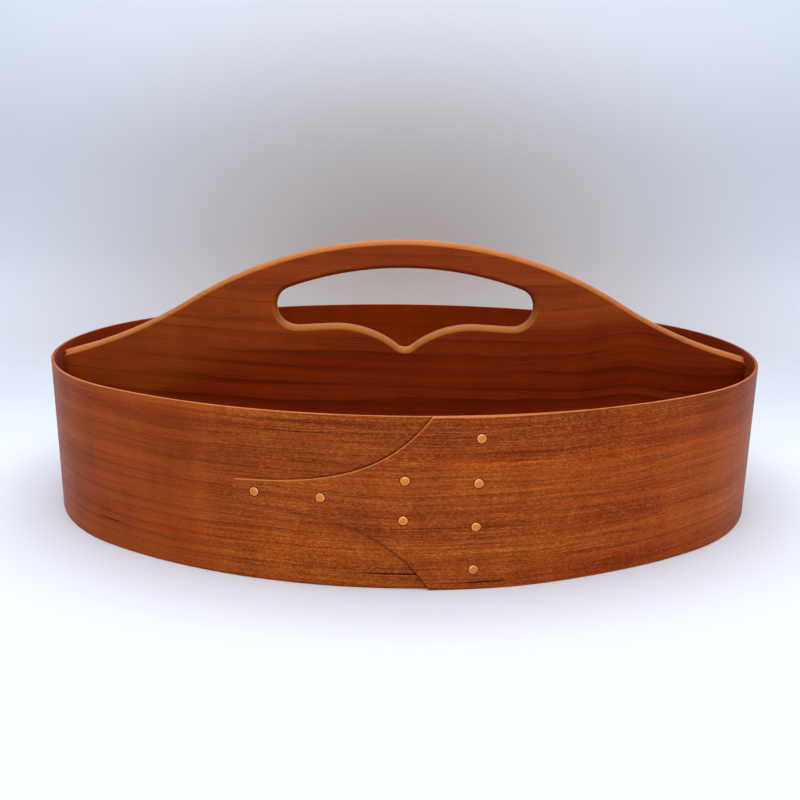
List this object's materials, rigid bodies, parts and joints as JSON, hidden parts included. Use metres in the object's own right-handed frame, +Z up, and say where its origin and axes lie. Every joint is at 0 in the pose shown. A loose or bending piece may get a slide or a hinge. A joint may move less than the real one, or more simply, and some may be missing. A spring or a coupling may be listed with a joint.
{
  "type": "handled tray",
  "caption": "Oval bentwood tray: a lapped and tacked side band round a flat base, with an upright handle board that divides the inside and rises above the rim to a hand hole.",
  "frame": {"origin": "middle of the oval base's underside, on the table", "axes": "+X along the tray's length and the handle, to the right seen from the lap; +Y away from the lapped front; +Z up"},
  "size_m": [0.3606, 0.2539, 0.132],
  "materials": {
    "band_wood": "satin oiled cherry, grain along the strip",
    "base_wood": "satin oiled cherry, grain along the length",
    "handle_wood": "satin oiled cherry, grain along the length",
    "tack_metal": "bright copper, hammered flush",
    "screw_metal": "plain brass"
  },
  "bodies": {
    "root": {"side_band": "band_wood", "base_board": "base_wood", "handle_board": "handle_wood", "lap_tacks": "tack_metal", "end_tacks": "tack_metal", "base_screws": "screw_metal"}
  },
  "joints": []
}
